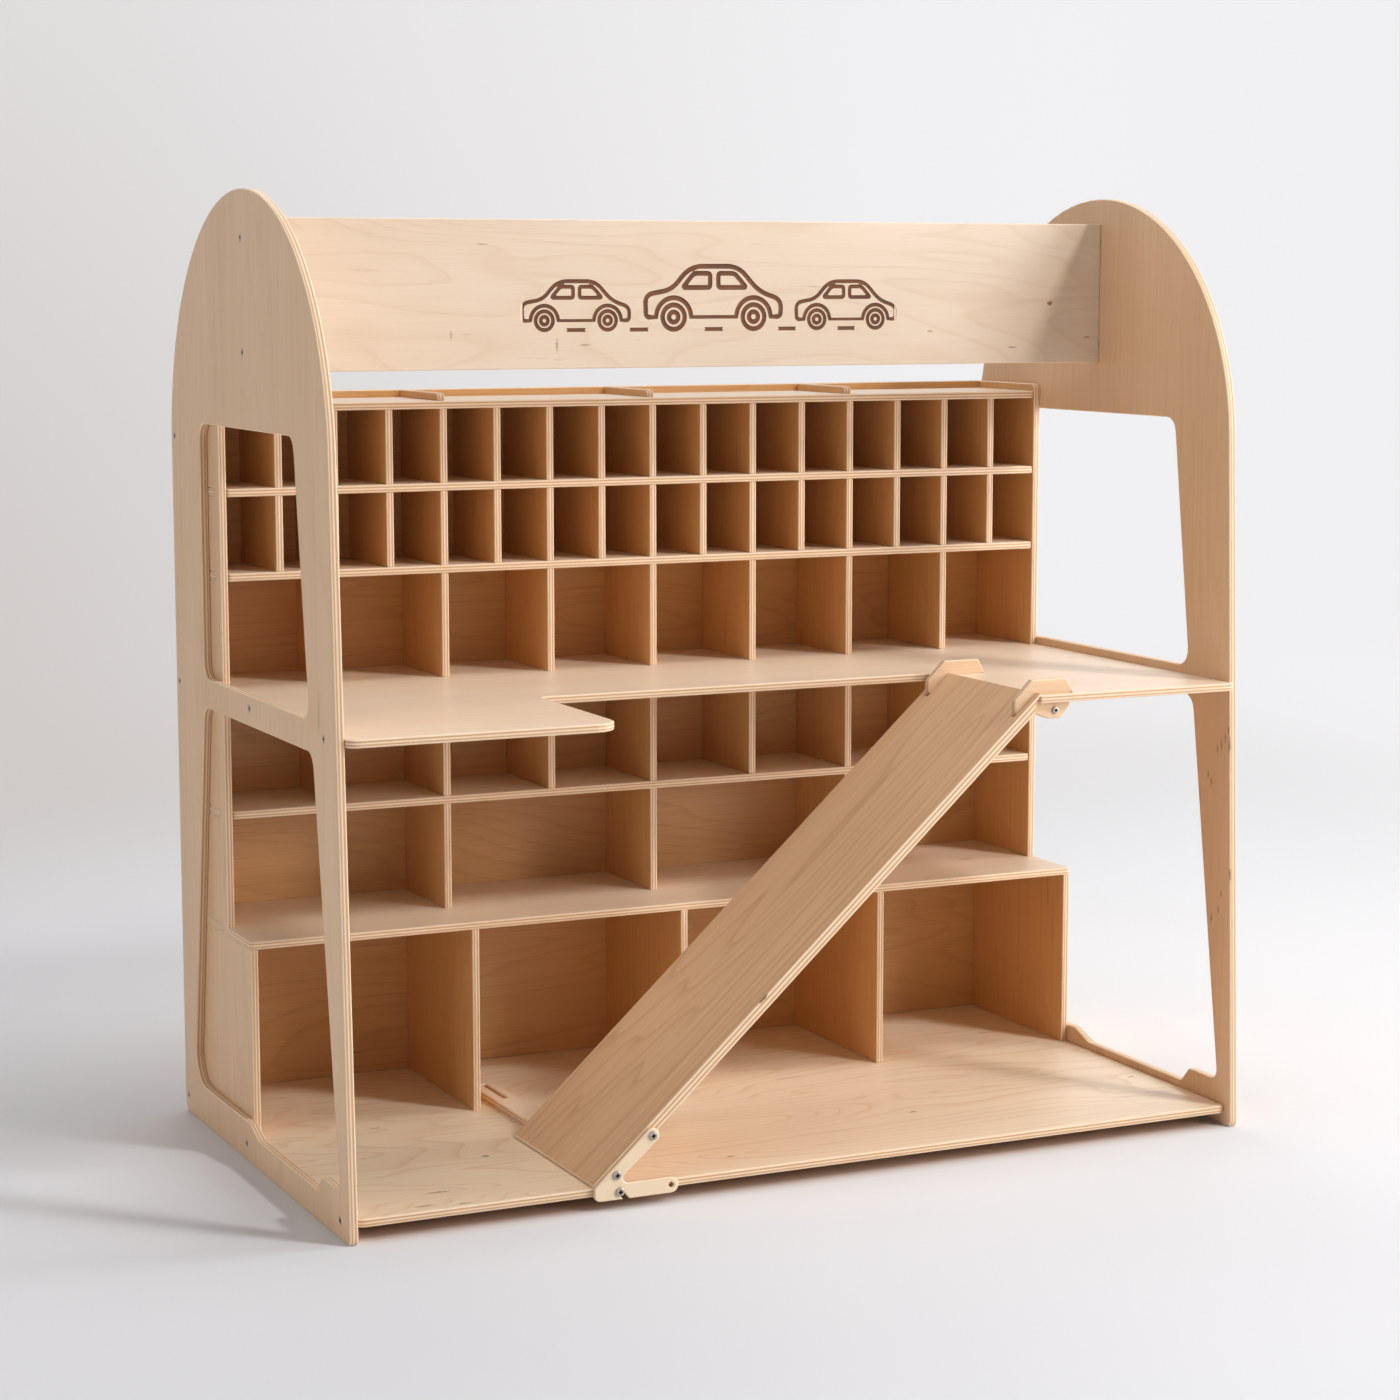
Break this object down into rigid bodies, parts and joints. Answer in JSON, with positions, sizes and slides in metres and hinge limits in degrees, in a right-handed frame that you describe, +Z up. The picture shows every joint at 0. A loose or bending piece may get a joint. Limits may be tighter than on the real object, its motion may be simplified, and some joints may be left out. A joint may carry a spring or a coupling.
{
  "type": "toy parking garage",
  "caption": "Open plywood case of car-sized cells between arched side panels, with a sign board, a wide deck and a hinged ramp from the deck down to the base board.",
  "frame": {"origin": "centre of the footprint, on the floor", "axes": "+X to the right as seen from the front, +Y to the back, +Z up; the open front faces -Y"},
  "size_m": [0.794, 0.438, 0.786],
  "materials": {
    "birch": "satin clear-coated birch plywood with visible edge layers",
    "birch_warm": "satin clear-coated birch plywood, slightly darker veneer",
    "birch_pale": "fine sanded pale plywood",
    "steel": "bright zinc-plated steel"
  },
  "bodies": {
    "case": {"outer_side_left": "birch", "outer_side_right": "birch", "deck": "birch", "shelf_1": "birch", "shelf_2": "birch", "shelf_4": "birch", "shelf_5": "birch", "top_shelf": "birch", "base_board": "birch", "sign_board": "birch", "stop_strip": "birch", "case_side_left": "birch_warm", "case_side_right": "birch_warm", "back_panel": "birch_warm", "main_divider_1": "birch_warm", "main_divider_2": "birch_warm", "main_divider_3": "birch_warm", "small_divider_1": "birch_warm", "small_divider_2": "birch_warm", "small_divider_3": "birch_warm", "small_divider_4": "birch_warm", "small_divider_5": "birch_warm", "small_divider_6": "birch_warm", "small_divider_7": "birch_warm", "small_divider_8": "birch_warm", "small_divider_9": "birch_warm", "small_divider_10": "birch_warm", "small_divider_11": "birch_warm", "small_divider_12": "birch_warm", "upper_row_divider_1": "birch_warm", "upper_row_divider_2": "birch_warm", "upper_row_divider_3": "birch_warm", "upper_row_divider_4": "birch_warm", "lower_row_divider_1": "birch_warm", "lower_row_divider_2": "birch_warm", "lower_row_divider_3": "birch_warm", "lower_row_divider_4": "birch_warm", "ramp_cheek_front": "birch_pale", "ramp_cheek_rear": "birch_pale", "pivot_bolt": "steel", "pivot_nut": "steel", "hook_screw": "steel"},
    "ramp": {"ramp_board": "birch", "hinge_block_front": "birch", "hinge_block_rear": "birch", "foot_bracket": "birch_pale", "foot_screw_upper": "steel", "foot_screw_lower": "steel"}
  },
  "joints": [
    {"name": "ramp_hinge", "type": "hinge", "parent": "case", "child": "ramp", "pos_m": [0.2185, 0, 0.367], "axis": [0, 1, 0], "range_deg": [0, 39]}
  ]
}
